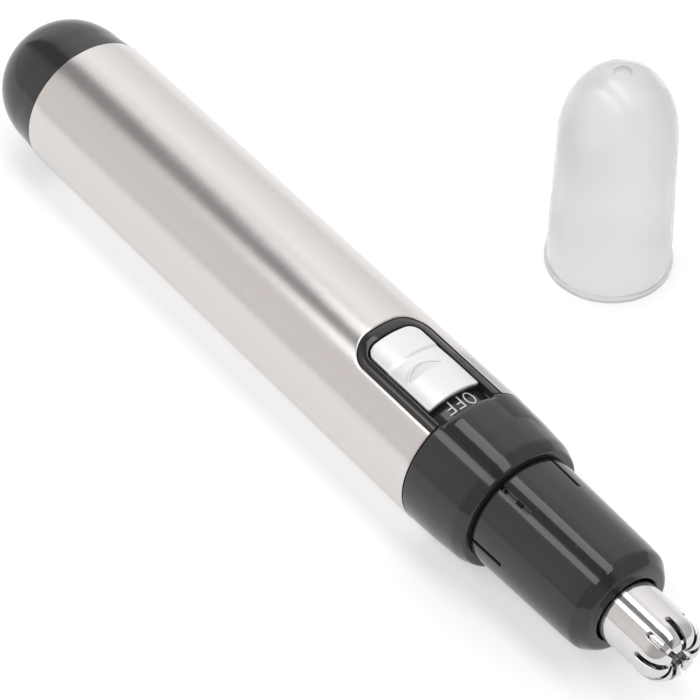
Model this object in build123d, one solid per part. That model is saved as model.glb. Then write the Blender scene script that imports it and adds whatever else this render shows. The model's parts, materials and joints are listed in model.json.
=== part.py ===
from build123d import *
import math
import os

# Battery nose hair trimmer lying on its side, with its protective cap standing beside it.
#
# The trimmer is drawn about its own axis: x = 0 is the rear edge of the steel sleeve, +X points
# to the cutting tip, +Z is the side with the switch, and radii are measured from the axis.
# place() then moves it to the part's frame, where z = 0 is the table and the origin is the
# middle of the footprint.  All lengths are millimetres.

# ---- driving dimensions -------------------------------------------------------------------
SLEEVE_R = 9.5            # outside of the steel sleeve
SLEEVE_WALL = 0.4
SLEEVE_LENGTH = 77.9
REAR_CAP_LENGTH = 12.5    # gloss dome behind the sleeve
COLLAR_LENGTH = 10.2      # gloss ring ahead of the sleeve
HEAD_R = 7.5              # head shell where it meets the collar
HEAD_END = 107.0          # front face of the head shell
HEAD_HOLE_R = 4.4         # hole in the head's front face
HEAD_SLIT_HALF = 0.25     # six slits let the head's skirt spring open
HEAD_SLIT_LENGTH = 5.0
HEAD_SLITS = 6
HEAD_SLIT_TURN = -27.0    # where the first slit stands, in degrees from the top towards +Y
TIP_R = 4.15              # slotted foil at the cutting end
TIP_END = 116.1
TIP_WALL = 0.5
TIP_OPENING_R = 1.25      # the teeth stop round an open star
TIP_SLOTS = 9
TIP_SLOT_HALF = 0.36
TIP_SLOT_START = 113.1    # centre of each slot's round end
TIP_SLOT_TURN = -34.4
CELL_R = 7.25             # AA cell, 14.5 mm by 50.5 mm over the terminal
CELL_LENGTH = 50.5
CELL_NUB = 1.0
MOTOR_R = 6.0             # 12 mm motor with two flats 10 mm apart
MOTOR_FLAT = 5.0
SHAFT_R = 0.75
RUNNING_GAP = 0.05        # radial clearance of a turning shaft in its bush
CAP_R = 8.3               # protective cap at its rim
CAP_HEIGHT = 31.8
SWITCH_TRAVEL = 2.2       # how far the switch slides towards the tip
SCREW_R = 0.8             # the two screws that hold the motor
SCREW_HEAD_R = 1.25
SCREW_Y = 4.0
STEM_R = 1.2              # the cutter's stem, with a square end in the drive hub's socket
STEM_DOG_HALF = 1.15
SOCKET_HALF = 1.3

# ---- positions that follow from them ------------------------------------------------------
SLEEVE_BORE = SLEEVE_R - SLEEVE_WALL
FIT_R = SLEEVE_BORE - 0.05                      # what slides into the sleeve
COLLAR_END = SLEEVE_LENGTH + COLLAR_LENGTH
HEAD_START = COLLAR_END + 0.2
CELL_REAR = -3.5
CELL_FRONT = CELL_REAR + CELL_LENGTH - CELL_NUB
MOTOR_REAR = 60.0
MOTOR_FRONT = 75.0
MIDDLE_X = (TIP_END - REAR_CAP_LENGTH) / 2
CAP_GAP = 24.1                                  # clear table between the trimmer and its cap
CAP_AXIS_Y = SLEEVE_R + CAP_GAP + CAP_R
MIDDLE_Y = (CAP_AXIS_Y + CAP_R - SLEEVE_R) / 2
CAP_X = 55.8                                    # where along the trimmer the cap stands

os.makedirs("parts", exist_ok=True)


# ---- drawing helpers ----------------------------------------------------------------------
def spun(curves):
    """Solid of revolution about the trimmer's axis from curves in (x, r) that close a loop."""
    edges = ShapeList([edge for curve in curves for edge in curve.edges()])
    return revolve(make_face(edges), Axis.X, 360)


def turned(*corners):
    """Solid of revolution from a closed outline of (x, r) corners; a third number rounds a corner."""
    flat = [Vector(corner[0], corner[1]) for corner in corners]
    curves, ends = [], []
    for i, corner in enumerate(corners):
        first = last = flat[i]
        if len(corner) == 3:
            radius = corner[2]
            back = (flat[i - 1] - flat[i]).normalized()
            ahead = (flat[(i + 1) % len(flat)] - flat[i]).normalized()
            half = math.radians(back.get_angle(ahead)) / 2
            first = flat[i] + back * (radius / math.tan(half))
            last = flat[i] + ahead * (radius / math.tan(half))
            nearest = (back + ahead).normalized() * (radius / math.sin(half) - radius)
            curves.append(ThreePointArc(first, flat[i] + nearest, last))
        ends.append((first, last))
    for i, (first, last) in enumerate(ends):
        curves.append(Line(ends[i - 1][1], first))
    return spun(curves)


def tube(x0, x1, outer, inner):
    """Plain ring from x0 to x1."""
    return turned((x0, inner), (x1, inner), (x1, outer), (x0, outer))


def rod(x0, x1, radius, y=0.0, z=0.0):
    """Round bar along X."""
    return Pos((x0 + x1) / 2, y, z) * Rot(0, 90, 0) * Cylinder(radius, x1 - x0)


def block(x0, x1, y0, y1, z0, z1):
    """Rectangular block between two corners."""
    return Pos((x0 + x1) / 2, (y0 + y1) / 2, (z0 + z1) / 2) * Box(x1 - x0, y1 - y0, z1 - z0)


def about_axis(shape, degrees):
    """The shape turned about the trimmer's axis."""
    return Rot(degrees, 0, 0) * shape


def flatted_rod(x0, x1, radius, flat):
    """Round bar along X with flats on top and underneath."""
    return rod(x0, x1, radius) & block(x0, x1, -radius, radius, -flat, flat)


def slot_plan(x0, x1, half_width, corner, z0, z1):
    """Upright prism whose two rear corners, at x0, are rounded."""
    blank = block(x0, x1, -half_width, half_width, z0, z1)
    rear = blank.edges().filter_by(Axis.Z).group_by(Axis.X)[0]
    return fillet(rear, corner)


def place(shape):
    """From the trimmer's own axis to the part's frame."""
    return Pos(-MIDDLE_X, -MIDDLE_Y, SLEEVE_R) * shape


def place_cap(shape):
    """From the protective cap's own base centre to the part's frame."""
    return Pos(CAP_X - MIDDLE_X, CAP_AXIS_Y - MIDDLE_Y, 0) * shape


def one_solid(shape):
    """The single solid of a shape, so that each file holds one body."""
    return shape.solids()[0] if len(shape.solids()) == 1 else shape


# ---- sleeve, switch bezel and collar: what the hand and eye meet ---------------------------
WINDOW_START = 61.8       # notch for the switch, open at the sleeve's front edge
WINDOW_HALF = 5.25
WINDOW_CORNER = 3.3
BEZEL_TOP_R = 9.34        # the frame lies just under the sleeve's edge
BEZEL_UNDERSIDE = 6.8
POCKET_START = 63.35      # the recess in which the button slides
POCKET_HALF = 3.95
POCKET_CORNER = 1.7
POCKET_FLOOR_R = 8.2      # its floor is curved like the sleeve
BUTTON_START = 63.6
BUTTON_END = 75.6
BUTTON_HALF = 3.7
BUTTON_CORNER = 1.45
BUTTON_TOP_R = 9.34
BUTTON_GAP = 0.12         # between the button and the pocket's floor
STEM_START = 67.0         # the button's stem, through a slot in the floor to the carrier
STEM_END = 71.0
STEM_HALF = 1.1
LETTER_RISE = 0.06
LETTER_STROKE = 0.17


def steel_sleeve():
    """Drawn steel tube with eased ends and the switch notch cut through its top."""
    ease = 0.12
    body = turned(
        (0, SLEEVE_BORE),
        (SLEEVE_LENGTH, SLEEVE_BORE),
        (SLEEVE_LENGTH, SLEEVE_R - ease),
        (SLEEVE_LENGTH - ease, SLEEVE_R),
        (ease, SLEEVE_R),
        (0, SLEEVE_R - ease),
    )
    notch = slot_plan(WINDOW_START, SLEEVE_LENGTH + 1, WINDOW_HALF, WINDOW_CORNER, 0, 12)
    return body - notch


def switch_bezel():
    """Gloss frame that fills the notch: a flanged plate with the pocket the button slides in."""
    clearance = 0.05
    front = SLEEVE_LENGTH - clearance
    frame = slot_plan(
        WINDOW_START + clearance, front, WINDOW_HALF - clearance, WINDOW_CORNER - clearance, 7.2, 10
    )
    frame = frame & rod(WINDOW_START, SLEEVE_LENGTH, BEZEL_TOP_R)
    flange = block(60.7, front, -6.2, 6.2, BEZEL_UNDERSIDE, 9.2) & rod(60, SLEEVE_LENGTH, FIT_R)
    pocket = slot_plan(POCKET_START, front + 1, POCKET_HALF, POCKET_CORNER, 6, 10)
    pocket -= rod(POCKET_START - 1, front + 2, POCKET_FLOOR_R)
    stem_slot = block(
        STEM_START - 0.2, STEM_END + SWITCH_TRAVEL, -STEM_HALF - 0.2, STEM_HALF + 0.2, 6, 9
    )
    return frame + flange - pocket - stem_slot


def letter_bar(x0, x1, y0, y1):
    """One upright stroke of a letter, cut to the floor's curve later."""
    return block(x0, x1, y0, y1, 7, 9)


def letter_o(x0, height, left, width):
    """Letter O: an oval ring; its top points to the tip and its left side is at +Y."""
    inner = Ellipse(height / 2 - LETTER_STROKE, width / 2 - LETTER_STROKE)
    ring = Ellipse(height / 2, width / 2) - inner
    return Pos(x0 + height / 2, left - width / 2, 7) * extrude(ring, 2)


def letter_f(x0, height, left, width):
    """Letter F: a stem at +Y with bars at the top and the middle."""
    stem = letter_bar(x0, x0 + height, left - LETTER_STROKE, left)
    top = letter_bar(x0 + height - LETTER_STROKE, x0 + height, left - width, left)
    middle = letter_bar(x0 + 0.5 * height, x0 + 0.5 * height + LETTER_STROKE, left - 0.8 * width, left)
    return stem + top + middle


def letter_n(x0, height, left, width):
    """Letter N: two stems joined by a slanting stroke."""
    outline = letter_bar(x0, x0 + height, left - width, left)
    stems = letter_bar(x0, x0 + height, left - LETTER_STROKE, left)
    stems += letter_bar(x0, x0 + height, left - width, left - width + LETTER_STROKE)
    inner = width - 2 * LETTER_STROKE
    tilt = math.degrees(math.atan2(inner, height))
    slant = Rot(0, 0, tilt) * Box(math.hypot(height, inner), LETTER_STROKE, 2)
    return stems + (Pos(x0 + height / 2, left - width / 2, 8) * slant & outline)


def switch_legend():
    """Raised OFF ahead of the button and ON under its rear end, on the pocket's curved floor."""
    off_x = BUTTON_END - 0.1
    on_x = BUTTON_START + 0.3
    letters = [
        letter_o(off_x, 2.05, 2.2, 1.3),
        letter_f(off_x, 1.9, 0.45, 0.95),
        letter_f(off_x, 1.9, -0.9, 0.95),
        letter_o(on_x, 1.6, 1.3, 1.2),
        letter_n(on_x, 1.6, -0.15, 1.1),
    ]
    skin = tube(BUTTON_START, SLEEVE_LENGTH, POCKET_FLOOR_R + LETTER_RISE, POCKET_FLOOR_R)
    return [letter & skin for letter in letters]


COLLAR_SPIGOT_R = 6.25    # the head pushes onto this spigot
SPIGOT_END = 93.3
GROOVE_START = 90.6       # groove for the head's rubber ring
GROOVE_END = 91.6
GROOVE_R = 5.75


def front_collar():
    """Gloss ring between sleeve and head, with a spigot that the head pushes onto."""
    body = turned(
        (SLEEVE_LENGTH, 7.25),
        (80.5, 7.25),
        (80.5, 4.2),
        (SPIGOT_END, 4.2),
        (SPIGOT_END, COLLAR_SPIGOT_R, 0.35),
        (GROOVE_END, COLLAR_SPIGOT_R),
        (GROOVE_END, GROOVE_R),
        (GROOVE_START, GROOVE_R),
        (GROOVE_START, COLLAR_SPIGOT_R),
        (COLLAR_END, COLLAR_SPIGOT_R),
        (COLLAR_END, 8.35, 0.5),
        (86.6, 8.95, 3.0),
        (82.6, 9.28, 8.0),
        (SLEEVE_LENGTH, 9.44, 0.38),
    )
    return body


# ---- battery bay -------------------------------------------------------------------------
TUBE_BORE = 7.45
SPIGOT_R = 8.2
STRIP_HALF = 1.5
STRIP_TOP = -7.5
STRIP_THICK = 0.25


def battery_tube():
    """Moulded tube that holds the cell, with the spigot that the rear cap slides over."""
    body = turned(
        (-4.3, TUBE_BORE),
        (47.4, TUBE_BORE),
        (47.4, 2.6),
        (48.9, 2.6),
        (48.9, FIT_R),
        (0.2, FIT_R),
        (0.2, SPIGOT_R),
        (-1.8, SPIGOT_R),
        (-1.8, SPIGOT_R - 0.25),
        (-2.6, SPIGOT_R - 0.25),
        (-2.6, SPIGOT_R),
        (-4.1, SPIGOT_R),
        (-4.3, SPIGOT_R - 0.2),
    )
    channel = block(-5, 50, -STRIP_HALF - 0.1, STRIP_HALF + 0.1, -7.85, -6)
    return body - channel


def positive_contact():
    """Nickelled disc with a dished centre and a tail through the bulkhead."""
    disc = turned((47.0, 0), (47.0, 1.6), (47.15, 5.0), (47.4, 5.0), (47.4, 0))
    tail = block(47.3, 54.0, -1.0, 1.0, 1.6, 1.9)
    return disc + tail


def negative_strip():
    """Strip spring that carries the rear contact forward along the floor of the tube."""
    low = STRIP_TOP - STRIP_THICK
    run = block(-6.2, 52.0, -STRIP_HALF, STRIP_HALF, low, STRIP_TOP)
    return run


CAN_R = CELL_R - 0.15     # under the jacket
CAN_WALL = 0.3


def battery_can():
    """AA cell's can: thin nickelled steel with a stepped positive terminal."""
    outside = turned(
        (CELL_REAR, 0),
        (CELL_REAR, CAN_R - 0.2),
        (CELL_REAR + 0.3, CAN_R),
        (CELL_FRONT - 0.4, CAN_R),
        (CELL_FRONT, CAN_R - 0.4),
        (CELL_FRONT, 2.7),
        (CELL_FRONT + CELL_NUB - 0.2, 2.7),
        (CELL_FRONT + CELL_NUB, 2.5),
        (CELL_FRONT + CELL_NUB, 0),
    )
    return outside - rod(CELL_REAR + CAN_WALL, CELL_FRONT - CAN_WALL, CAN_R - CAN_WALL)


def battery_core():
    """The cell's packed chemistry, as one plug that fills the can."""
    return rod(CELL_REAR + CAN_WALL, CELL_FRONT - CAN_WALL, CAN_R - CAN_WALL)


def battery_jacket():
    """Printed sleeve shrunk over the can."""
    return tube(CELL_REAR + 0.4, CELL_FRONT - 0.5, CELL_R, CAN_R)


# ---- rear cap ----------------------------------------------------------------------------
def dome_outline(x0, r0, length, exponent, count):
    """Points of a superelliptic dome from (x0, r0) back to the axis."""
    points = []
    for i in range(count + 1):
        angle = math.pi / 2 * i / count
        depth = length * math.sin(angle) ** (2 / exponent)
        radius = r0 * math.cos(angle) ** (2 / exponent)
        points.append((x0 - depth, radius))
    return points


def rear_cap():
    """Gloss dome that closes the battery bay; it pulls straight off the spigot."""
    straight = 3.0
    dome = dome_outline(-straight, 9.1, REAR_CAP_LENGTH - straight, 2.4, 14)
    skin = Spline(*dome, tangents=[(-1, -0.02), (0, -1)])
    inner = Polyline(
        (-REAR_CAP_LENGTH, 0),
        (-9.8, 0),
        (-9.8, 4.5),
        (-7.4, 7.4),
        (-7.2, 7.9),
        (-6.6, 7.9),
        (-6.6, SPIGOT_R + 0.1),
        (-0.5, SPIGOT_R + 0.1),
        (-0.5, 8.9),
        (-0.05, 8.9),
        (-0.05, 9.25),
        (-0.2, 9.38),
        (-straight, 9.1),
    )
    body = revolve(make_face(skin.edges() + inner.edges()), Axis.X, 360)
    return body


def rear_seal():
    """Flat rubber ring in the cap's rim, which meets the end of the battery tube."""
    return tube(-0.45, -0.05, 8.85, SPIGOT_R + 0.12)


def negative_plate():
    """Sprung steel disc across the inside of the rear cap."""
    return turned((-7.15, 0), (-7.15, 7.85), (-6.9, 7.85), (-6.9, 0))


def battery_spring():
    """Conical coil that presses the cell forward, as a stack of joined turns."""
    wire = 0.3
    start = 2.6
    end = 5.2
    turns = 3
    rings = []
    for i in range(turns):
        radius = end - (end - start) * i / (turns - 1)
        x = -6.6 + 1.2 * i
        rings.append(Pos(x, 0, 0) * Rot(0, 90, 0) * Torus(radius, wire))
    posts = []
    for i in range(turns - 1):
        upper = end - (end - start) * i / (turns - 1)
        lower = end - (end - start) * (i + 1) / (turns - 1)
        x = -6.6 + 1.2 * i
        length = math.hypot(1.2, upper - lower)
        tilt = math.degrees(math.atan2(upper - lower, 1.2))
        link = Rot(0, 90, 0) * Cylinder(wire * 0.9, length)
        link = Pos(x + 0.6, 0, (upper + lower) / 2) * Rot(0, tilt, 0) * link
        posts.append(about_axis(link, 90 + 180 * i))
    body = rings[0]
    for piece in rings[1:] + posts:
        body = body + piece
    return body


# ---- chassis and switch works ------------------------------------------------------------
DECK_TOP = 5.4            # floor of the switch's chamber, just above the motor
CARRIER_TOP = 6.7


def front_chassis():
    """Moulded cradle behind the collar: motor bore, switch deck and front bulkhead."""
    body = rod(49.0, SLEEVE_LENGTH, FIT_R)
    body += tube(77.0, 80.4, 7.2, 5.6)
    body -= rod(48, 58.2, 8.1)
    body -= flatted_rod(58.0, MOTOR_FRONT, MOTOR_R + 0.05, MOTOR_FLAT + 0.05)
    body -= rod(74, 79, 2.1)
    body -= block(60.6, 79, -6.3, 6.3, 6.7, 10)
    body -= block(63.6, 76.4, -3.0, 3.0, DECK_TOP, 7)
    for y in (-SCREW_Y, SCREW_Y):
        body -= rod(74, 79, SCREW_R + 0.1, y)
        body -= rod(76.5, 79, SCREW_HEAD_R + 0.15, y)
    body -= block(57, 61.5, 3.2, 4.8, -1.2, 1.2)
    body -= block(57, 61.5, -4.8, -3.2, -1.2, 1.2)
    return body


def switch_button():
    """Satin slider: its top follows the sleeve, with a thumb scoop that ends at a straight step."""
    body = slot_plan(BUTTON_START, BUTTON_END, BUTTON_HALF, BUTTON_CORNER, 6, 10)
    body = body & rod(BUTTON_START, BUTTON_END, BUTTON_TOP_R)
    body -= rod(BUTTON_START - 1, BUTTON_END + 1, POCKET_FLOOR_R + BUTTON_GAP)
    step_x = 70.8
    depth = 0.5
    scoop_r = 3.4
    scoop = Pos(step_x, 0, BUTTON_TOP_R - depth + scoop_r) * Sphere(scoop_r)
    ahead = Pos(step_x, 0, BUTTON_TOP_R) * Rot(0, 20, 0) * Pos(3, 0, 0) * Box(6, 10, 6)
    body -= scoop - ahead
    stem = block(STEM_START, STEM_END, -STEM_HALF, STEM_HALF, CARRIER_TOP, POCKET_FLOOR_R + 0.3)
    return body + stem


def switch_carrier():
    """Moulded slide under the bezel, moved by the button's stem."""
    return block(66.4, 71.6, -2.3, 2.3, 6.1, CARRIER_TOP)


def switch_wiper():
    """Copper bridge under the carrier that joins the two fixed contacts."""
    body = block(66.8, 71.2, -1.9, 1.9, 5.95, 6.1)
    body += block(70.2, 70.8, -1.9, -1.1, 5.72, 6.0)
    body += block(70.2, 70.8, 1.1, 1.9, 5.72, 6.0)
    return body


def switch_contacts():
    """Two copper pads on the switch deck."""
    pads = []
    for side in (-1, 1):
        low, high = sorted((side * 0.9, side * 2.2))
        pads.append(block(71.0, 75.8, low, high, DECK_TOP, 5.65))
    return pads


# ---- motor -------------------------------------------------------------------------------
def motor_can():
    """Steel can with flats, closed at the front around the front bush."""
    wall = 0.5
    body = flatted_rod(MOTOR_REAR, MOTOR_FRONT, MOTOR_R, MOTOR_FLAT)
    body += rod(MOTOR_FRONT - 0.1, MOTOR_FRONT + 0.9, 2.0)
    body -= flatted_rod(MOTOR_REAR - 1, MOTOR_FRONT - 0.7, MOTOR_R - wall, MOTOR_FLAT - wall)
    body -= rod(MOTOR_FRONT - 1, MOTOR_FRONT + 2, 1.4)
    for y in (-SCREW_Y, SCREW_Y):
        body -= rod(MOTOR_FRONT - 1, MOTOR_FRONT + 1, SCREW_R, y)
    return body


def motor_end_cap():
    """Moulded end that closes the can and carries the brushes."""
    body = flatted_rod(58.3, MOTOR_REAR, MOTOR_R, MOTOR_FLAT)
    body += flatted_rod(59.9, 61.4, MOTOR_R - 0.55, MOTOR_FLAT - 0.55)
    body -= rod(60.4, 62, 4.3)
    body -= rod(58, 62, 1.4)
    for side in (-1, 1):
        low, high = sorted((side * 3.85, side * 4.15))
        body -= block(58, 62, low, high, -0.8, 0.8)
    return body


def motor_terminals():
    """Two brush leaves that run through the end cap to solder tags behind it."""
    tags = []
    for side in (-1, 1):
        low, high = sorted((side * 3.85, side * 4.15))
        tag = block(54.6, 62.8, low, high, -0.8, 0.8)
        inner, outer = sorted((side * 1.75, side * 4.15))
        tag += block(62.5, 62.8, inner, outer, -0.8, 0.8)
        tags.append(tag)
    return tags


def motor_magnets():
    """Two curved magnets inside the can, one on each side."""
    ring = tube(63.6, 73.6, MOTOR_R - 0.55, 4.6)
    magnets = []
    for side in (-1, 1):
        low, high = sorted((side * 2.6, side * 6.0))
        magnets.append(ring & block(63, 74, low, high, -4.2, 4.2))
    return magnets


def motor_bushings():
    """Sintered bushes at the two ends of the motor."""
    bore = SHAFT_R + RUNNING_GAP
    return [tube(58.4, 60.2, 1.4, bore), tube(74.2, 76.0, 1.4, bore)]


def motor_screws():
    """Two small pan-head screws that hold the motor to the front bulkhead."""
    screws = []
    for y in (-SCREW_Y, SCREW_Y):
        screw = rod(74.3, 76.6, SCREW_R, y)
        head = rod(76.5, 77.4, SCREW_HEAD_R, y)
        head -= block(77.1, 78, y - 0.15, y + 0.15, -0.9, 0.9)
        screws.append(screw + head)
    return screws


def motor_shaft():
    """Ground steel shaft through the whole motor."""
    return turned(
        (57.6, 0), (57.6, SHAFT_R - 0.15), (57.75, SHAFT_R), (83.7, SHAFT_R), (84.0, SHAFT_R - 0.2), (84.0, 0)
    )


def motor_armature():
    """Three-pole stack of laminations on the shaft."""
    body = tube(64.5, 72.5, 1.7, SHAFT_R)
    rim = tube(64.5, 72.5, 4.3, 3.3)
    for i in range(3):
        pole = block(64.5, 72.5, -0.6, 0.6, 1.4, 3.6)
        shoe = rim & block(64.5, 72.5, -2.6, 2.6, 0, 5)
        body += about_axis(pole + shoe, 120 * i)
    return body


def motor_windings():
    """Copper coils around the three poles."""
    coils = []
    for i in range(3):
        coil = block(64.0, 73.0, -1.3, 1.3, 1.95, 2.95) - block(64.4, 72.6, -0.65, 0.65, 1, 4)
        coils.append(about_axis(coil, 120 * i))
    return coils


def motor_commutator():
    """Copper segments that the brushes run on, split in three."""
    body = tube(61.6, 63.6, 1.65, SHAFT_R)
    for i in range(3):
        body -= about_axis(block(61, 64, -0.1, 0.1, 1.2, 2), 60 + 120 * i)
    return body


def drive_hub():
    """Moulded coupling pressed on the shaft, with a square socket for the blade's stem."""
    body = turned(
        (79.3, SHAFT_R), (79.3, 2.6), (79.6, 2.9), (87.2, 2.9), (87.6, 2.5), (87.6, 1.2), (84.0, 1.2), (84.0, SHAFT_R)
    )
    return body - block(84.2, 88, -SOCKET_HALF, SOCKET_HALF, -SOCKET_HALF, SOCKET_HALF)


def drive_spring():
    """Three joined turns of wire at the bottom of the socket that push the stem forward."""
    body = Pos(84.4, 0, 0) * Rot(0, 90, 0) * Torus(0.7, 0.14)
    for i in range(1, 3):
        body += Pos(84.4 + 0.24 * i, 0, 0) * Rot(0, 90, 0) * Torus(0.7, 0.14)
    return body


# ---- head --------------------------------------------------------------------------------
BLADE_SEAT = 108.4        # the cutter's hub is pressed on the stem up to here


def head_shell():
    """Gloss black head: a sprung skirt with six slits, a web for the bush and a round shoulder."""
    body = turned(
        (HEAD_START, 6.4),
        (94.0, 6.4),
        (94.0, 5.9),
        (98.0, 5.9),
        (98.0, 2.6),
        (99.4, 2.6),
        (99.4, 5.5),
        (105.2, 5.5),
        (105.2, HEAD_HOLE_R),
        (106.6, HEAD_HOLE_R),
        (HEAD_END, HEAD_HOLE_R + 0.05, 0.3),
        (106.75, 5.9, 1.2),
        (105.3, 7.02, 1.5),
        (103.2, 7.16, 3.0),
        (HEAD_START, HEAD_R, 0.12),
    )
    slit_end = HEAD_START + HEAD_SLIT_LENGTH
    for i in range(HEAD_SLITS):
        slit = block(HEAD_START - 1, slit_end, -HEAD_SLIT_HALF, HEAD_SLIT_HALF, 5, 9)
        slit += Pos(slit_end, 0, 7) * Cylinder(HEAD_SLIT_HALF, 4)
        body -= about_axis(slit, -(HEAD_SLIT_TURN + 360 / HEAD_SLITS * i))
    return body


def head_seal():
    """Rubber ring in the collar's groove that grips the head's skirt."""
    return tube(GROOVE_START + 0.1, GROOVE_END - 0.1, COLLAR_SPIGOT_R + 0.07, GROOVE_R + 0.03)


def stem_bush():
    """Bronze bush in the head's web."""
    return tube(97.8, 99.6, 2.6, STEM_R + RUNNING_GAP)


RIM_X = 113.6             # the tip's rounded rim is part of an ellipse about this point
RIM_R = 2.3


def rim_points(gap, last_r, count=14):
    """Points of the tip's rim, gap inside its surface, from the side round to radius last_r."""
    along = TIP_END - RIM_X - gap
    across = TIP_R - RIM_R - gap
    last = math.acos((last_r - RIM_R) / across)
    points = []
    for i in range(count + 1):
        angle = last * i / count
        points.append((RIM_X + along * math.sin(angle), RIM_R + across * math.cos(angle)))
    return points


def foil_guard():
    """Slotted steel tip: nine slots run over its rounded rim to an open star."""
    outside = rim_points(0, TIP_OPENING_R)
    inside = rim_points(TIP_WALL, TIP_OPENING_R)
    body = spun([
        Spline(*outside),
        Line(outside[-1], inside[-1]),
        Spline(*inside),
        Polyline(
            inside[0],
            (104.3, TIP_R - TIP_WALL),
            (104.3, 5.4),
            (104.8, 5.4),
            (104.8, TIP_R),
            outside[0],
        ),
    ])
    for i in range(TIP_SLOTS):
        slot = block(TIP_SLOT_START, 117, -TIP_SLOT_HALF, TIP_SLOT_HALF, 0.3, 5)
        slot += Pos(TIP_SLOT_START, 0, 4) * Cylinder(TIP_SLOT_HALF, 2.4)
        body -= about_axis(slot, -(TIP_SLOT_TURN + 360 / TIP_SLOTS * i))
    return body


def rotor_blade():
    """Steel cutter inside the tip: a cup base and two bent arms ground to the tip's inside."""
    gap = TIP_WALL + 0.15
    arm_wall = 0.45
    arm_half = 1.25
    outside = rim_points(gap, 2.0)
    inside = rim_points(gap + arm_wall, 2.0)
    ring = spun([
        Spline(*outside),
        Line(outside[-1], inside[-1]),
        Spline(*inside),
        Polyline(inside[0], (109.2, TIP_R - gap - arm_wall), (109.2, TIP_R - gap), outside[0]),
    ])
    arms = ring & block(109, 117, -arm_half, arm_half, -5, 5)
    base = turned((108.5, 0), (108.5, TIP_R - gap), (109.3, TIP_R - gap), (109.3, 0))
    hub = turned((105.5, 1.19), (105.5, 1.9), (108.6, 1.9), (108.6, 1.19))
    body = about_axis(arms, -TIP_SLOT_TURN) + base + hub
    return body - rod(105, BLADE_SEAT, STEM_R)


def blade_stem():
    """Steel stem with a square end that the drive hub turns."""
    dog = block(85.2, 87.9, -STEM_DOG_HALF, STEM_DOG_HALF, -STEM_DOG_HALF, STEM_DOG_HALF)
    dog = dog & rod(85, 88, 1.5)
    stem = rod(87.8, BLADE_SEAT, STEM_R)
    thrust = rod(96.9, 97.6, 2.2)
    return dog + stem + thrust


# ---- protective cap ----------------------------------------------------------------------
def protective_cap():
    """Translucent bullet-shaped cap standing on its rim, with a flared lip and an inner step."""
    top = CAP_HEIGHT
    outer = Spline(
        (CAP_R - 0.28, 0.9),
        (7.98, 12.0),
        (7.85, 20.0),
        (7.72, 25.0),
        (7.2, 28.3),
        (5.4, 30.7),
        (2.8, 31.6),
        (0, top),
        tangents=[(-0.03, 1), (-1, 0)],
    )
    inner = Polyline(
        (0, top),
        (0, top - 1.0),
        (2.6, top - 1.15),
        (4.7, 29.6),
        (6.2, 27.6),
        (6.75, 25.0),
        (6.9, 17.0),
        (7.05, 15.6),
        (7.35, 8.0),
        (7.62, 0.35),
        (7.75, 0),
        (CAP_R - 0.1, 0),
        (CAP_R, 0.12),
        (CAP_R - 0.02, 0.75),
        (CAP_R - 0.28, 0.9),
    )
    outline = make_face(outer.edges() + inner.edges())
    upright = Plane.XZ.location * outline
    return revolve(upright, Axis.Z, 360)


def write(name, shape):
    """One STEP file per node; a list of solids becomes one group."""
    if isinstance(shape, list):
        shape = Compound(children=[solid for item in shape for solid in item.solids()])
    shape.label = name
    export_step(shape, os.path.join("parts", name + ".step"))


TRIMMER_PIECES = [
    steel_sleeve, switch_bezel, switch_legend, front_collar, battery_tube, positive_contact,
    negative_strip, battery_can, battery_core, battery_jacket, rear_cap, rear_seal, negative_plate, battery_spring,
    front_chassis, switch_button, switch_carrier, switch_wiper, switch_contacts, motor_can,
    motor_end_cap, motor_terminals, motor_magnets, motor_bushings, motor_screws, motor_shaft,
    motor_armature, motor_windings, motor_commutator, drive_hub, drive_spring, head_shell,
    head_seal, stem_bush, foil_guard, rotor_blade, blade_stem,
]

for make in TRIMMER_PIECES:
    made = make()
    if isinstance(made, list):
        made = [place(one_solid(item)) for item in made]
    else:
        made = place(one_solid(made))
    write(make.__name__, made)

write("protective_cap", place_cap(one_solid(protective_cap())))
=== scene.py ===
# %% [markdown]
# # A nose hair trimmer and its protective cap
#
# The working model is already made: every part, fit and joint is fixed, and this notebook only
# gives it its looks.  What the eye meets first is rebuilt as fine surfaces worked out with numpy,
# and the other parts keep their shapes and get materials.  Lengths are millimetres until
# `to_frame` turns them into Blender's metres.

import math

import bmesh
import bpy
import numpy as np
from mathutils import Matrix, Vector
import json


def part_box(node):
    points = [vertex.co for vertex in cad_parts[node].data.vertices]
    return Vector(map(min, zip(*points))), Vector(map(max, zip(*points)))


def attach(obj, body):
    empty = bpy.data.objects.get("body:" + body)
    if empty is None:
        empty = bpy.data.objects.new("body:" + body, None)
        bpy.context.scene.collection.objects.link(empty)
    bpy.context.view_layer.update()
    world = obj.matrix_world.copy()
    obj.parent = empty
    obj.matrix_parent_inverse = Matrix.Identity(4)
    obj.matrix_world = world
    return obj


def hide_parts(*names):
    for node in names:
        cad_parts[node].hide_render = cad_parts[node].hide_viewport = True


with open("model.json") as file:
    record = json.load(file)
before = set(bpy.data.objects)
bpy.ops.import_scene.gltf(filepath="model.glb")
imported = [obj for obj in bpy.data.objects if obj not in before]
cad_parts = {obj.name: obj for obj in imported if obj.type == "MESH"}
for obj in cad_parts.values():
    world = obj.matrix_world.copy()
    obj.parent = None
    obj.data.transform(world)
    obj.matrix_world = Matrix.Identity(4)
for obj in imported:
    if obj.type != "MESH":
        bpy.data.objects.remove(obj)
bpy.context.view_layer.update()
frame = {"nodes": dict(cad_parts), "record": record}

# %% [markdown]
# ## One set of numbers for every piece
#
# A lathe operator would draw this object from its centre line, so we do too: x is measured from
# the rear edge of the steel sleeve towards the tip, and radii from the trimmer's axis.  Both
# come from the model's own boxes, so a new surface lands on the part that it stands for.

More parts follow.
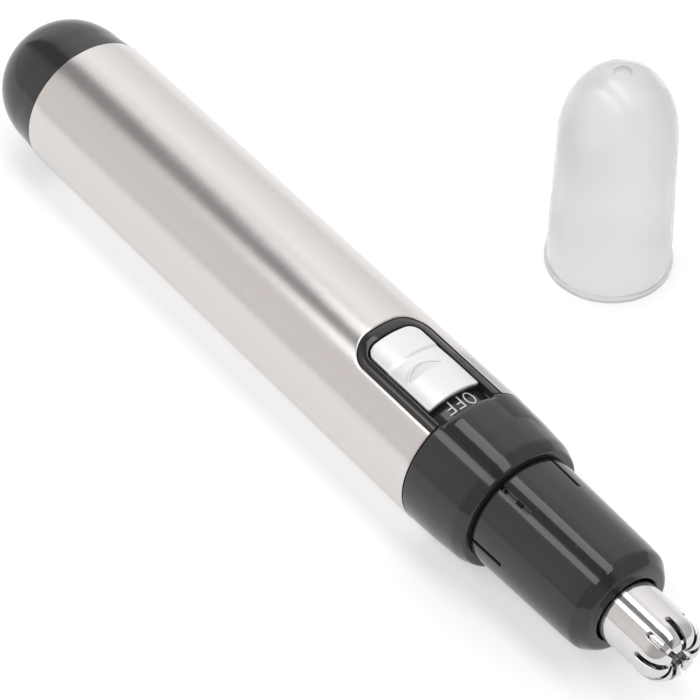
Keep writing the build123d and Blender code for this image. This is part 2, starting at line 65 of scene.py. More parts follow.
# %% The trimmer's axis and the lengths along it
MM = 0.001
sleeve_low, sleeve_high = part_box("steel_sleeve")
SEAM_X = sleeve_low.x
AXIS_Y = (sleeve_low.y + sleeve_high.y) / 2
AXIS_Z = (sleeve_low.z + sleeve_high.z) / 2


def span(node):
    """First and last x of a CAD node, in millimetres from the sleeve's rear edge."""
    low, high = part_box(node)
    return round((low.x - SEAM_X) / MM, 2), round((high.x - SEAM_X) / MM, 2)


def radius(node):
    """Largest radius of a turned CAD node, from its width across Y."""
    low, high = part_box(node)
    return round((high.y - low.y) / 2 / MM, 2)


SLEEVE_END = span("steel_sleeve")[1]
SLEEVE_R = radius("steel_sleeve")
SLEEVE_WALL = 0.4
CAP_END = span("rear_cap")[0]
COLLAR_START = span("front_collar")[0]
HEAD_START, HEAD_END = span("head_shell")
TIP_START, TIP_END = span("foil_guard")
print("sleeve", SLEEVE_R, SLEEVE_END, "head", HEAD_START, HEAD_END, "tip", TIP_START, TIP_END)


def to_frame(x, y, z):
    """Millimetres about the trimmer's axis to metres in the model's frame."""
    return np.stack([x * MM + SEAM_X, y * MM + AXIS_Y, z * MM + AXIS_Z], axis=-1)


def paired(first, second):
    """Points of two coordinates; either may be one number for all of them."""
    return np.stack(np.broadcast_arrays(first, second), axis=-1)


def around(x, r, angle):
    """Points at x, at radius r from the trimmer's axis, and at an angle from straight up."""
    return to_frame(x + 0 * angle, r * np.sin(angle), r * np.cos(angle))

# %% [markdown]
# ## Surfaces from grids
#
# A surface here is an array of points with two indices, like a sheet of graph paper that has been
# bent into place.  Several sheets that share their borders are welded into one closed body.
# Building them as whole arrays keeps the formula of each shape in sight, and the closed body lets
# Blender decide which side is out.

# %% Weld point grids into one closed mesh
WELD = 2e-6


def closed_mesh(name, grids, lids=(), sharp=35.0):
    """Mesh from grids of shape (rows, columns, 3), and lids, each a flat face given by its rim."""
    points, faces, used = [], [], 0
    for grid in grids:
        rows, columns = grid.shape[:2]
        index = used + np.arange(rows * columns).reshape(rows, columns)
        quads = np.stack([index[:-1, :-1], index[1:, :-1], index[1:, 1:], index[:-1, 1:]], axis=-1)
        faces += quads.reshape(-1, 4).tolist()
        points.append(grid.reshape(-1, 3))
        used += rows * columns
    for rim in lids:
        faces.append(list(range(used, used + len(rim))))
        points.append(np.asarray(rim))
        used += len(rim)
    mesh = bpy.data.meshes.new(name)
    mesh.from_pydata(np.concatenate(points).tolist(), [], faces)
    work = bmesh.new()
    work.from_mesh(mesh)
    bmesh.ops.remove_doubles(work, verts=work.verts, dist=WELD)
    bmesh.ops.recalc_face_normals(work, faces=work.faces)
    open_edges = sum(1 for edge in work.edges if not edge.is_manifold)
    work.to_mesh(mesh)
    work.free()
    mesh.shade_smooth()
    mesh.set_sharp_from_angle(angle=math.radians(sharp))
    print(f"{name}: {len(mesh.polygons)} faces, {open_edges} open edges")
    return mesh


# %% Put a mesh in the scene
def added(name, data):
    """New object in the scene."""
    made = bpy.data.objects.new(name, data)
    bpy.context.scene.collection.objects.link(made)
    return made


def place(name, mesh, material, body, stands_for=()):
    """Put a finished mesh in the scene, on its moving body and in place of its CAD nodes."""
    piece = added(name, mesh)
    mesh.materials.append(material)
    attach(piece, body)
    if stands_for:
        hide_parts(*stands_for)
    print(name, "rides on", body)

# %% [markdown]
# ## Turned shapes
#
# Nearly everything on this object is round, and its mould was cut on a lathe.  A turned shape is
# an outline of a few corners, with a radius at each corner as on a drawing, spun about the axis.
# The corner radii are what makes plastic look moulded: each one catches its own thin highlight.

# %% Round an outline's corners and spin it
def soften(corners, steps=6):
    """Closed outline of (x, r, radius) corners; each corner becomes the arc touching its sides."""
    flat = np.array([corner[:2] for corner in corners], float)
    outline = []
    for i, corner in enumerate(corners):
        if len(corner) < 3:
            outline.append(flat[i][None])
            continue
        back, ahead = flat[i - 1] - flat[i], flat[(i + 1) % len(flat)] - flat[i]
        back_length, ahead_length = np.linalg.norm(back), np.linalg.norm(ahead)
        back, ahead = back / back_length, ahead / ahead_length
        angle = math.acos(np.clip(back @ ahead, -1, 1))
        reach = min(corner[2] / math.tan(angle / 2), 0.49 * back_length, 0.49 * ahead_length)
        bend = reach * math.tan(angle / 2)
        middle = back + ahead
        centre = flat[i] + middle / np.linalg.norm(middle) * bend / math.sin(angle / 2)
        start, end = flat[i] + back * reach - centre, flat[i] + ahead * reach - centre
        sweep = math.pi - angle
        share = np.linspace(0, 1, steps + 1)[:, None]
        arc = (np.sin((1 - share) * sweep) * start + np.sin(share * sweep) * end) / math.sin(sweep)
        outline.append(centre + arc)
    outline = np.concatenate(outline)
    return np.concatenate([outline, outline[:1]])


def turn(outline, count=256):
    """Outline of (x, r) points carried once round the trimmer's axis."""
    angle = np.linspace(0, 2 * math.pi, count + 1)
    return around(outline[:, :1], outline[:, 1:], angle)

# %% [markdown]
# ## Shader maths written as Python
#
# A procedural material is a sum of small causes: grain, haze, wear.  Wiring those by hand is hard
# to read, so one small class wraps a socket and lets ordinary arithmetic add the Math nodes.
# Every other node comes from its `node` method.

# %% A socket that does arithmetic
class Wire:
    """One output socket of a node tree."""

    def __init__(self, tree, socket):
        self.tree = tree
        self.socket = socket

    def node(self, kind, settings=None, inputs=None, out=0):
        """Any node: its settings first, then the values or links of its sockets."""
        made = self.tree.nodes.new(kind)
        for key, value in (settings or {}).items():
            if key == "stops":
                fill_ramp(made.color_ramp, value)
            else:
                setattr(made, key, value)
        for key, value in (inputs or {}).items():
            if isinstance(value, Wire):
                self.tree.links.new(value.socket, made.inputs[key])
            else:
                made.inputs[key].default_value = value
        return Wire(self.tree, made.outputs[out])

    def maths(self, operation, first, second=0.0):
        """One Math node."""
        return self.node("ShaderNodeMath", {"operation": operation}, {0: first, 1: second})

    def __add__(self, other):
        return self.maths("ADD", self, other)

    def __radd__(self, other):
        return self.maths("ADD", other, self)

    def __sub__(self, other):
        return self.maths("SUBTRACT", self, other)

    def __rsub__(self, other):
        return self.maths("SUBTRACT", other, self)

    def __mul__(self, other):
        return self.maths("MULTIPLY", self, other)

    def __rmul__(self, other):
        return self.maths("MULTIPLY", other, self)


# %% Patterns, mixes and bumps
def fill_ramp(ramp, stops):
    """Give a colour ramp its stops, each a position and a grey value or a colour."""
    for position, colour in stops[2:]:
        ramp.elements.new(position)
    for element, (position, colour) in zip(ramp.elements, sorted(stops)):
        element.position = position
        element.color = (*colour, 1) if isinstance(colour, tuple) else (colour, colour, colour, 1)


def stretched(spot, scale):
    """Coordinates scaled by a different factor along each axis."""
    return spot.node("ShaderNodeMapping", None, {0: spot, 3: scale})


def noise(spot, scale, detail=3.0, rough=0.55):
    """Noise between 0 and 1; scale is the pattern's count per metre, or one count for each axis."""
    if isinstance(scale, tuple):
        spot, scale = stretched(spot, scale), 1.0
    inputs = {"Vector": spot, "Scale": scale, "Detail": detail, "Roughness": rough}
    return spot.node("ShaderNodeTexNoise", None, inputs)


def between(value, low, high):
    """0 below low, 1 above high, and smooth in between."""
    inputs = {"Value": value, "From Min": low, "From Max": high}
    return value.node("ShaderNodeMapRange", {"interpolation_type": "SMOOTHSTEP"}, inputs)


def mixed(factor, first, second):
    """Colour mix through a Mix node; a colour is a triple or a wire."""
    first = first if isinstance(first, Wire) else (*first, 1)
    second = second if isinstance(second, Wire) else (*second, 1)
    sockets = {0: factor, 6: first, 7: second}
    return factor.node("ShaderNodeMix", {"data_type": "RGBA"}, sockets, out=2)


def bump(height, depth):
    """Normal from a height between 0 and 1 that stands for depth in metres."""
    return height.node("ShaderNodeBump", None, {"Height": height, "Distance": depth})


def shades(colour, *shares):
    """The same colour at several brightnesses."""
    return [tuple(share * value for value in colour) for share in shares]


def material(name, recipe, **constants):
    """Principled material: recipe(spot) gives what varies, constants are set on the sockets."""
    made = bpy.data.materials.new(name)
    made.use_nodes = True
    tree = made.node_tree
    shader = tree.nodes["Principled BSDF"]
    for key, value in constants.items():
        shader.inputs[key.replace("_", " ")].default_value = value
    spot = Wire(tree, tree.nodes.new("ShaderNodeTexCoord").outputs["Object"])
    for key, wire in recipe(spot).items():
        tree.links.new(wire.socket, shader.inputs[key])
    return made

# %% [markdown]
# ## Metals
#
# The sleeve was drawn, then finished by a belt that ran around it, so its scratches are rings:
# noise packed tightly along x and stretched far around the axis.  Polished and ground parts use
# the same idea with other counts.  A fine bump breaks up the edge of each reflection, which is
# what the eye reads as brushing, and a broader haze changes the roughness where hands have been.

# %% Brushed, polished and ground metal
def brushed(colour, rough, lines, along=300.0, depth=2.5e-6, haze=0.08):
    """Metal with ring-shaped grain: lines is the grain's count per metre along x."""
    def recipe(spot):
        grain = noise(spot, (lines, along, along), detail=5.0, rough=0.7)
        fine = noise(spot, (lines * 3.1, along * 2, along * 2), detail=2.0)
        hands = noise(spot, 55.0, detail=3.0)
        nicks = between(noise(spot, (700.0, 5200.0, 5200.0), detail=1.0), 0.74, 0.8)
        tone = mixed(0.75 * grain + 0.25 * fine, *shades(colour, 0.86, 1.1))
        return {
            "Base Color": mixed(0.12 * nicks, tone, (1.0, 1.0, 1.0)),
            "Roughness": rough + haze * (hands - 0.5) + 0.14 * (grain - 0.5),
            "Normal": bump(0.7 * grain + 0.3 * fine - 0.25 * nicks, depth),
        }
    return recipe


def metal(name, colour, rough, lines, **grain):
    """A material with the brushed recipe."""
    return material(name, brushed(colour, rough, lines, **grain), Metallic=1.0)


stainless = metal("stainless_brushed", (0.640, 0.622, 0.612), 0.21, 9000.0)
chrome_tip = metal("tip_polished", (0.660, 0.655, 0.655), 0.1, 5200.0, depth=6e-7, haze=0.04)
blade_steel = metal("blade_ground", (0.70, 0.70, 0.71), 0.16, 7000.0, depth=9e-7)
nickel = metal("nickel_plate", (0.68, 0.66, 0.61), 0.18, 3000.0, depth=8e-7)
motor_steel = metal("zinc_plate", (0.56, 0.56, 0.57), 0.3, 2400.0, depth=1.5e-6)
cell_steel = metal("cell_can", (0.66, 0.65, 0.63), 0.22, 4200.0, depth=1e-6)
copper = metal("copper", (0.86, 0.46, 0.29), 0.27, 5200.0, depth=1e-6)
bronze = metal("bronze_bush", (0.52, 0.37, 0.20), 0.42, 2600.0, depth=3e-6)
lamination = metal("laminations", (0.30, 0.30, 0.31), 0.45, 2000.0, depth=6e-6)
print("metals", [made.name for made in (stainless, chrome_tip, blade_steel, nickel, motor_steel)])

# %% [markdown]
# ## Mouldings
#
# Gloss black ABS is never quite flat: it carries a faint orange peel from the mould, a haze from
# handling, and a few hairline rubs.  The dull parts inside have a spark-eroded texture instead.
# One recipe covers both, because they differ only in counts and depths.

# %% Gloss and dull plastics, rubber and magnets
def moulded(colour, rough, peel=420.0, depth=1.5e-6, haze=0.05, rubs=0.04, dust=0.02):
    """Plastic with mould texture, handling haze, hairline rubs and a little dust."""
    def recipe(spot):
        skin = noise(spot, peel, detail=2.0)
        hands = noise(spot, 75.0, detail=4.0)
        hair = between(noise(spot, (240.0, 6400.0, 3100.0), detail=2.0), 0.68, 0.78)
        specks = between(noise(spot, 2600.0, detail=0.0), 0.76, 0.82)
        tone = mixed(hands, *shades(colour, 0.85, 1.12))
        return {
            "Base Color": mixed(dust * specks, tone, (0.5, 0.49, 0.47)),
            "Roughness": rough + haze * (hands - 0.5) + rubs * hair + 0.12 * specks,
            "Normal": bump(skin - 0.1 * hair, depth),
        }
    return recipe


def plastic(name, ior, colour, rough, **texture):
    """A material with the moulded recipe."""
    return material(name, moulded(colour, rough, **texture), IOR=ior)


black_gloss = plastic("black_gloss", 1.5, (0.021, 0.021, 0.022), 0.09)
black_matte = plastic(
    "black_spark_texture", 1.48, (0.032, 0.032, 0.033), 0.5, peel=4200.0, depth=9e-6, rubs=0.1
)
nylon_white = plastic("natural_nylon", 1.5, (0.74, 0.72, 0.66), 0.42, peel=1500.0, depth=3e-6)
rubber_black = plastic(
    "seal_rubber", 1.45, (0.020, 0.020, 0.020), 0.62, peel=2600.0, depth=6e-6, dust=0.1
)
magnet = plastic("ferrite", 1.6, (0.07, 0.07, 0.075), 0.55, peel=3600.0, depth=8e-6)
cell_mix = plastic("cell_mix", 1.45, (0.06, 0.06, 0.06), 0.8, peel=3000.0, depth=2e-5)
legend_white = plastic("printed_white", 1.45, (0.72, 0.72, 0.72), 0.5, peel=5200.0, depth=2e-6)
print("plastics", [made.name for made in (black_gloss, black_matte, nylon_white, rubber_black)])

# %% [markdown]
# ## Finishes with a character of their own
#
# The slider is silver paint: flakes lie at slightly different angles, so each one takes a
# different share of the light.  The protective cap is thin natural polypropylene: most light
# goes through its slightly rough skin, and a share scatters inside the wall, so there is no sharp
# picture of what is behind it.  The cell's jacket is printed film with a band at its positive end.

# %% Silver paint, milky polypropylene and the cell's printed film
def silver_paint(spot):
    """Fine metal flakes under a satin lacquer."""
    flakes = noise(spot, 14000.0, detail=1.0)
    drift = noise(spot, 260.0, detail=3.0)
    hands = noise(spot, 120.0, detail=3.0)
    return {
        "Base Color": mixed(0.5 * flakes + 0.5 * drift, (0.72, 0.725, 0.735), (0.84, 0.845, 0.855)),
        "Metallic": 0.42 + 0.2 * between(flakes, 0.4, 0.7),
        "Roughness": 0.33 + 0.1 * (hands - 0.5) + 0.12 * (flakes - 0.5),
        "Normal": bump(flakes + 0.5 * drift, 7e-7),
    }


def milky(spot):
    """Cloudy natural polypropylene with faint flow lines from the gate down."""
    cloud = noise(spot, 160.0, detail=4.0)
    flow = noise(spot, (900.0, 900.0, 60.0), detail=3.0)
    rubs = between(noise(spot, (5200.0, 5200.0, 300.0), detail=1.0), 0.7, 0.8)
    return {
        "Base Color": mixed(0.6 * cloud + 0.4 * flow, (0.975, 0.975, 0.975), (0.995, 0.995, 0.995)),
        "Roughness": 0.34 + 0.1 * (cloud - 0.5) + 0.06 * rubs,
        "Normal": bump(0.6 * flow + 0.4 * cloud, 4e-6),
    }


BAND_LENGTH = 13.0
BAND_EDGE = SEAM_X + (span("battery_jacket")[1] - BAND_LENGTH) * MM


def printed_film(spot):
    """Dark green film with a silver band towards the positive end and a thin pale line."""
    along = spot.node("ShaderNodeSeparateXYZ", None, {0: spot})
    band = between(along, BAND_EDGE, BAND_EDGE + 0.15 * MM)
    line = between(along, BAND_EDGE - 1.2 * MM, BAND_EDGE - 1.1 * MM)
    line = line - between(along, BAND_EDGE - 0.7 * MM, BAND_EDGE - 0.6 * MM)
    grain = noise(spot, 700.0, detail=3.0)
    ink = mixed(grain, (0.012, 0.085, 0.055), (0.018, 0.12, 0.075))
    ink = mixed(band, ink, (0.62, 0.62, 0.6))
    return {
        "Base Color": mixed(line, ink, (0.8, 0.8, 0.76)),
        "Roughness": 0.24 + 0.12 * (grain - 0.5),
        "Normal": bump(grain, 2e-6),
    }


button_silver = material("button_silver_paint", silver_paint, Coat_Weight=0.15, Coat_Roughness=0.3)
cap_milky = material(
    "cap_polypropylene", milky, IOR=1.49, Subsurface_Weight=0.35, Subsurface_Radius=(1.0, 1.0, 1.0),
    Subsurface_Scale=0.003, Transmission_Weight=0.88, Coat_Weight=0.6, Coat_Roughness=0.12,
)
cell_jacket = material("cell_film", printed_film, IOR=1.5, Coat_Weight=0.2)

# %% [markdown]
# ## The steel sleeve
#
# On the real object this is a tube with a notch punched from its front edge.  A Boolean cut would
# leave ragged shading round the notch, so the tube is laid out as two sheets instead: a narrow one
# along the top, which stops where the notch begins, and a wide one for the rest, whose two long
# edges follow the notch's rounded corners.  The same two sheets at the bore's radius make the
# inside, and a strip of rings rolls over the notch's edge from one to the other.  That small round
# is what draws the bright line along the real notch.

# %% The notch, row by row along the sleeve
NOTCH_START = 61.8
NOTCH_HALF = 5.25
NOTCH_CORNER = 3.3
NOTCH_EDGE = 0.2
END_EDGE = 0.12
BORE = SLEEVE_R - SLEEVE_WALL
TOP_HALF = NOTCH_HALF - NOTCH_CORNER
TOP_COLUMNS = np.linspace(-1, 1, 25)
quarter = np.linspace(0, math.pi / 2, 5)


def sleeve_rows(grow, r_max):
    """x, radius and notch half width of each row, for the notch's outline drawn larger by grow.

    The first and last rows lie on the bore, and next to them the ends' edges roll over in a
    quarter circle.  The number of rows behind the notch comes last.
    """
    swing = np.linspace(0, math.pi / 2, 21)
    corner = NOTCH_CORNER + grow
    roll_x, roll_r = END_EDGE * (1 - np.sin(quarter)), SLEEVE_R - END_EDGE * (1 - np.cos(quarter))
    plain = np.linspace(2, NOTCH_START - 1.5, 30)
    behind = np.concatenate([[0], roll_x[::-1], plain, [NOTCH_START - 0.5]])
    bend = NOTCH_START - grow + corner * (1 - np.cos(swing))
    ahead = np.linspace(NOTCH_START + NOTCH_CORNER + 0.5, SLEEVE_END - 0.6, 16)
    x = np.concatenate([behind, bend, ahead, SLEEVE_END - roll_x, [SLEEVE_END]])
    r = np.full(len(x), SLEEVE_R)
    rolled = len(quarter)
    r[0] = r[-1] = BORE
    r[1:1 + rolled], r[-1 - rolled:-1] = roll_r[::-1], roll_r
    half = np.full(len(x), NOTCH_HALF + grow)
    half[: len(behind)] = TOP_HALF
    half[len(behind): len(behind) + len(bend)] -= corner * (1 - np.sin(swing))
    half[-1] = NOTCH_HALF
    return x, np.minimum(r, r_max), half, len(behind)


print("notch from", NOTCH_START, "to", SLEEVE_END)


# %% Sleeve with its notch
def sleeve_sheets(grow, r_max):
    """Wide sheet from one edge of the notch right round to the other, and the narrow top sheet.

    A row's edge lies at the angle whose sine is the half width over the radius.
    """
    x, r, half, behind = sleeve_rows(grow, r_max)
    x, r, edge = x[:, None], r[:, None], np.arcsin(half / r)[:, None]
    across = np.concatenate([[0, 0.007], np.linspace(0.013, 0.987, 300), [0.993, 1]])
    wide = around(x, r, edge + across * (2 * math.pi - 2 * edge))
    top = slice(0, behind + 1)
    return [wide, around(x[top], r[top], TOP_COLUMNS * edge[top])]


def notch_ring(grow, r_max):
    """The notch's outline as one path, from its front end round its rear to the front again."""
    x, r, half, behind = sleeve_rows(grow, r_max)
    side = np.stack([x, -half, r], axis=-1)[:behind - 1:-1]
    rear_r, rear_x = side[-1, 2], side[-1, 0]
    y = rear_r * np.sin(TOP_COLUMNS * np.arcsin(TOP_HALF / rear_r))
    rear = np.stack([np.full(len(y), rear_x), y, np.full(len(y), rear_r)], axis=-1)
    path = np.concatenate([side, rear[1:-1], (side * (1, -1, 1))[::-1]])
    return to_frame(path[:, 0], path[:, 1], np.sqrt(path[:, 2] ** 2 - path[:, 1] ** 2))


roll = [(NOTCH_EDGE * (1 - math.sin(t)), NOTCH_EDGE * (1 - math.cos(t))) for t in quarter]
drawn = [(grow, SLEEVE_R - drop) for grow, drop in roll] + [(0.0, BORE)]
edge_strip = np.stack([notch_ring(grow, r) for grow, r in drawn])
sheets = sleeve_sheets(NOTCH_EDGE, SLEEVE_R) + sleeve_sheets(0.0, BORE)
sleeve = closed_mesh("sleeve", sheets + [edge_strip])
place("sleeve", sleeve, stainless, "trimmer", ["steel_sleeve"])

# %% [markdown]
# ## Rear cap and front collar
#
# Both are gloss black mouldings.  The cap's dome is a superellipse, which is flatter at the end
# and fuller at the shoulder than a ball: its radius falls as the 1/2.4 power of what is left of
# the length raised to 2.4.  The collar is a short barrel whose front edge rolls over before the
# spigot that carries the head.  Where the slider's recess runs into it, its rear rim rolls down,
# so that the lettering on the recess's floor stays in view.

# %% Rear cap
DOME_START = -3.0
DOME_R = 9.1
DOME_POWER = 2.4


def dome(count=48):
    """Superelliptic dome from its shoulder back to the axis."""
    swing = np.linspace(0, math.pi / 2, count)
    depth = (DOME_START - CAP_END) * np.sin(swing) ** (2 / DOME_POWER)
    return paired(DOME_START - depth, DOME_R * np.cos(swing) ** (2 / DOME_POWER))


cap_cavity = soften([
    (-9.8, 0), (-9.8, 4.5, 0.8), (-7.4, 7.4, 0.6), (-7.2, 7.9, 0.2), (-6.6, 7.9, 0.2),
    (-6.6, 8.3, 0.1), (-0.5, 8.3), (-0.5, 8.9), (-0.05, 8.9), (-0.05, 9.42, 0.12),
    (DOME_START, DOME_R),
])[:-1]
rear_outline = np.concatenate([dome(), cap_cavity])
rear_outline = np.concatenate([rear_outline, rear_outline[:1]])
rear = closed_mesh("rear_cap_shell", [turn(rear_outline)])
place("rear_cap_shell", rear, black_gloss, "rear_end", ["rear_cap"])

# %% Front collar with its rolled-down rim
COLLAR_R = 9.44
COLLAR_TAPER = 0.034
COLLAR_BORE_R = 8.4
RECESS_HALF = 3.95
RIM_DROP = 0.8
RIM_REACH = 1.5


def smooth(value):
    """Smooth step from 0 to 1 for values between 0 and 1."""
    value = np.clip(value, 0, 1)
    return value * value * (3 - 2 * value)


def barrel(x):
    """Radius of the collar's long taper at x."""
    return COLLAR_R - COLLAR_TAPER * (x - COLLAR_START)


def scalloped(outline, count=384):
    """The turned collar, whose rear rim rolls down across the width of the slider's recess.

    The drop follows a quarter circle along x, and fades out smoothly at the recess's two sides.
    Only the outer wall takes it.
    """
    angle = np.linspace(0, 2 * math.pi, count + 1)
    x, r = outline[:, :1], outline[:, 1:]
    across = np.where(np.cos(angle) > 0, SLEEVE_R * np.abs(np.sin(angle)), SLEEVE_R)
    window = smooth((RECESS_HALF + 0.3 - across) / 0.6)
    share = np.clip(1 - (x - COLLAR_START) / RIM_REACH, 0, 1)
    drop = RIM_DROP * (1 - np.sqrt(1 - share * share)) * (r > COLLAR_BORE_R)
    return around(x, r - drop * window, angle)


collar_outline = soften([
    (COLLAR_START, 7.25), (80.5, 7.25), (80.5, 4.2, 0.1), (93.3, 4.2, 0.2), (93.3, 6.25, 0.35),
    (91.6, 6.25, 0.05), (91.6, 5.75, 0.1), (90.6, 5.75, 0.1), (90.6, 6.25, 0.05), (88.1, 6.25, 0.3),
    (88.1, 8.35, 0.5), (86.6, 8.95, 3.0), (82.6, 9.28, 8.0),
    *[(x, barrel(x)) for x in np.linspace(80.2, 78.75, 12)], (COLLAR_START, COLLAR_R, 0.38),
], steps=10)
collar = closed_mesh("collar", [scalloped(collar_outline)])
place("collar", collar, black_gloss, "trimmer", ["front_collar"])

# %% [markdown]
# ## The frame around the slider
#
# The slider sits in a dished frame that fills the notch.  Its section changes nowhere, so the
# frame is one closed strip of rings: each ring is the notch's outline drawn a little smaller and
# at its own height, from under the sleeve, up over the rim, and down to the floor.  Rim and floor
# are curved about the trimmer's axis, and the rim lies a little below the sleeve's skin.

# %% Rings that follow the notch
BACK_POINTS = 9


def notch_path(rear, front, half, corner):
    """Plan path open at the front; paths of other sizes match it point for point."""
    swing = np.linspace(0, math.pi / 2, 17)
    side = np.linspace(front, rear + corner, 28)
    first = paired(side, -half)
    bend = paired(rear + corner * (1 - np.sin(swing)), corner - half - corner * np.cos(swing))
    back = paired(rear, np.linspace(corner - half, half - corner, BACK_POINTS))
    left = np.concatenate([first, bend[1:], back[1:BACK_POINTS // 2 + 1]])
    return np.concatenate([left, (left * (1, -1))[-2::-1]])


def on_cylinder(path, r):
    """Height of a cylinder of radius r over each point of a path."""
    return np.sqrt(r * r - path[:, 1] ** 2)


def stacked(rings):
    """Grid with one row for each ring, a plan path and its heights."""
    return np.stack([to_frame(path[:, 0], path[:, 1], height) for path, height in rings])


print("a ring has", len(notch_path(0, 10, 5, 3)), "points")

# %% Frame with its curved rim and floor
FRAME_FRONT = SLEEVE_END - 0.05
FRAME_TOP_R = 9.34
FRAME_UNDERSIDE = 6.8
FRAME_GAP = 0.05
SKIRT_REACH = 0.62
UNDER_SLEEVE_R = 9.05
FLOOR_R = 8.2
POCKET = {"rear": 63.35, "half": RECESS_HALF, "corner": 1.7}


def frame_rings():
    """Rings from the middle of the underside, round the rim, to the middle of the floor."""
    def ring(grow, rear, half, corner):
        return notch_path(rear - grow, FRAME_FRONT, half + grow, corner + grow)

    notch = (NOTCH_START + FRAME_GAP, NOTCH_HALF - FRAME_GAP, NOTCH_CORNER - FRAME_GAP)
    outer = [ring(grow, *notch) for grow in (0, -0.05, -0.16)]
    skirt = ring(SKIRT_REACH, *notch)
    inner = [ring(grow, **POCKET) for grow in (0.16, 0.05, 0, 0, -0.08)]
    wall = inner[-1]
    middle = np.clip(wall[:, 0], POCKET["rear"] + POCKET["half"], None)
    spine = paired(middle, 0.0)
    under = FRAME_UNDERSIDE + 0 * middle
    rings = [(spine, under), (skirt, under)]
    drawn = [
        (skirt, UNDER_SLEEVE_R), (outer[0], UNDER_SLEEVE_R), (outer[0], FRAME_TOP_R - 0.15),
        (outer[1], FRAME_TOP_R - 0.04), (outer[2], FRAME_TOP_R), (inner[0], FRAME_TOP_R),
        (inner[1], FRAME_TOP_R - 0.04), (inner[2], FRAME_TOP_R - 0.15), (inner[3], FLOOR_R + 0.08),
        (inner[4], FLOOR_R),
    ]
    drawn += [(wall + share * (spine - wall), FLOOR_R) for share in (0.25, 0.5, 0.75, 1.0)]
    return rings + [(path, on_cylinder(path, r)) for path, r in drawn]


strip = stacked(frame_rings())
front_face = np.concatenate([strip[:, 0], strip[::-1, -1]])
bezel = closed_mesh("slider_frame", [strip], lids=[front_face])
place("slider_frame", bezel, black_gloss, "trimmer", ["switch_bezel"])

# %% [markdown]
# ## The slider
#
# A thumb pushes this piece, so its top has a shallow dip that ends in a slanted crescent step.
# The top is a height field: the cylinder's own curve, less a dip that starts at a crease, less a
# scoop between an arc and a straight step, plus a low lip along the arc.  The rings of its
# outline shrink towards a short spine, so the same points serve the rolled edge and the top.  A
# dull black foot carries it just clear of the floor.

# %% Height of the slider's top
SLIDER_START, SLIDER_END = span("switch_button")
SLIDER_HALF = 3.7
SLIDER_TOP_R = 9.34
CREASE_X = 67.8
DIP_DEPTH = 0.17
STEP_X = 70.95
STEP_DEPTH = 0.5
SCOOP_REAR = 69.5
SCOOP_HALF = 2.75
SCOOP_Y = -0.35
LIP_HEIGHT = 0.04


def slider_top(x, y):
    """Cylinder less a dip and a scoop, plus a lip.

    The dip rises from nothing at the crease and fades out evenly towards the step.  The scoop's
    rear edge is a parabola across the slider; its floor falls away in a straight slope from
    there, and the step cuts it off.
    """
    level = np.sqrt(SLIDER_TOP_R ** 2 - y * y)
    share = np.clip((x - CREASE_X) / (STEP_X - CREASE_X), 0, 1)
    dip = DIP_DEPTH * smooth((x - CREASE_X + 0.25) / 0.55) * (1 - share)
    off_centre = (y - SCOOP_Y) / SCOOP_HALF
    rear = SCOOP_REAR + (STEP_X - SCOOP_REAR) * off_centre ** 2
    lip = LIP_HEIGHT * np.exp(-(((x - rear + 0.15) / 0.2) ** 2))
    lip = lip * smooth((1.05 - np.abs(off_centre)) / 0.3)
    floor = smooth((x - rear + 0.1) / 0.3) * (0.12 + 0.34 * np.clip(x - rear, 0, None))
    step = STEP_DEPTH * smooth((STEP_X + 0.16 - x) / 0.34)
    scoop = np.minimum(floor, step) * smooth((1.04 - np.abs(off_centre)) / 0.2)
    return np.minimum(level, level - dip - scoop + lip)


print("slider from", SLIDER_START, "to", SLIDER_END)


# %% Outline of the slider
def slider_path(shrink, rear_corner=1.45, front_corner=0.3):
    """Closed plan outline, smaller by shrink, starting at the middle of the front edge."""
    swing = np.linspace(0, math.pi / 2, 22)[1:-1]
    rear, front, half = SLIDER_START + shrink, SLIDER_END - shrink, SLIDER_HALF - shrink
    back, nose = max(rear_corner - shrink, 0.02), max(front_corner - shrink, 0.02)
    edge = np.linspace(0, half - nose, 34)
    side = np.linspace(front - nose, rear + back, 200)
    tail = np.linspace(half - back, 0, 24)
    x = np.concatenate([
        front + 0 * edge, front - nose + nose * np.cos(swing), side,
        rear + back - back * np.sin(swing), rear + 0 * tail,
    ])
    y = np.concatenate([
        edge, half - nose + nose * np.sin(swing), half + 0 * side,
        half - back + back * np.cos(swing), tail,
    ])
    path = paired(x, y)
    return np.concatenate([path, (path * (1, -1))[-2::-1]])


def spine_of(path):
    """Nearest point of the short spine inside the outline."""
    middle = np.clip(path[:, 0], SLIDER_START + SLIDER_HALF, SLIDER_END - SLIDER_HALF)
    return paired(middle, 0.0)


print("the outline has", len(slider_path(0.0)), "points")

# %% Slider plate with its thumb scoop
PLATE_THICKNESS = 0.46
PLATE_ROLL = 0.16
PLATE_CHAMFER = 0.06
NEAR = 0.999


def plate_rings():
    """Rings of the plate under slider_top: underside, rolled edge and top, spine to spine.

    The underside's heights are read a hair nearer to the centre line.
    """
    outer, lower = slider_path(0.0), slider_path(PLATE_CHAMFER)
    spine = spine_of(outer)
    under = [(spine + share * (lower - spine), 0.0) for share in (0, 0.5, 1)]
    rings = []
    for path, lift in under + [(outer, PLATE_CHAMFER)]:
        height = slider_top(path[:, 0], path[:, 1] * NEAR) - PLATE_THICKNESS
        rings.append((path, height + lift))
    for tilt in np.linspace(0, math.pi / 2, 7):
        path = slider_path(PLATE_ROLL * (1 - math.cos(tilt)))
        drop = PLATE_ROLL * (1 - math.sin(tilt))
        rings.append((path, slider_top(path[:, 0], path[:, 1]) - drop))
    edge = rings[-1][0]
    spine = spine_of(edge)
    for share in np.linspace(0, 1, 64)[1:]:
        path = edge + share * (spine - edge)
        rings.append((path, slider_top(path[:, 0], path[:, 1])))
    return stacked(rings)


